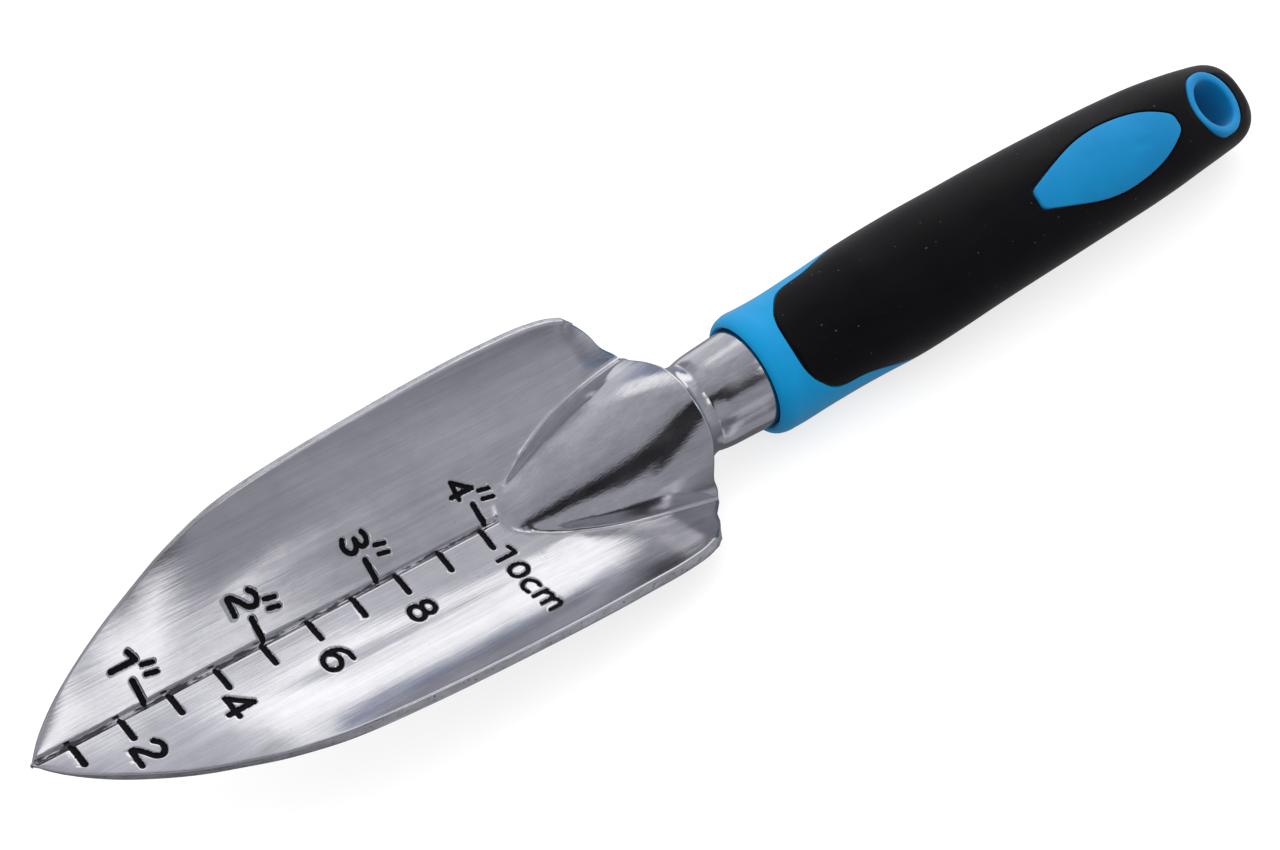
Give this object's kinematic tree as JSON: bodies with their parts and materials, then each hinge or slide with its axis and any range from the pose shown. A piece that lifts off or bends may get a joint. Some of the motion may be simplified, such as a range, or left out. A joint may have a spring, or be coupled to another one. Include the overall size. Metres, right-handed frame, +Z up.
{
  "type": "planting trowel",
  "caption": "Hand trowel with a pointed cast-aluminium scoop that carries a depth scale, and a soft black and blue grip with a hanging hole.",
  "frame": {"origin": "on the table, under the middle of the trowel's bounding box as it lies hollow side up on its left flank's heel, its collar and the grip's end", "axes": "+X from the scoop's tip towards the grip's end, +Z up from the table; the scoop's hollow faces up and leans about 30 degrees towards -Y"},
  "size_m": [0.298, 0.0516, 0.0453],
  "materials": {
    "cast_aluminium": "polished cast, fine lengthwise brushing",
    "blue_collar": "matte",
    "black_rubber": "matte",
    "grey_core": "matte",
    "blue_pad": "matte",
    "blue_liner": "matte"
  },
  "bodies": {
    "root": {"trowel_head": "cast_aluminium", "front_collar": "blue_collar", "grip_sleeve": "black_rubber", "handle_core": "grey_core", "thumb_pad": "blue_pad", "hang_eyelet": "blue_liner"}
  },
  "joints": []
}
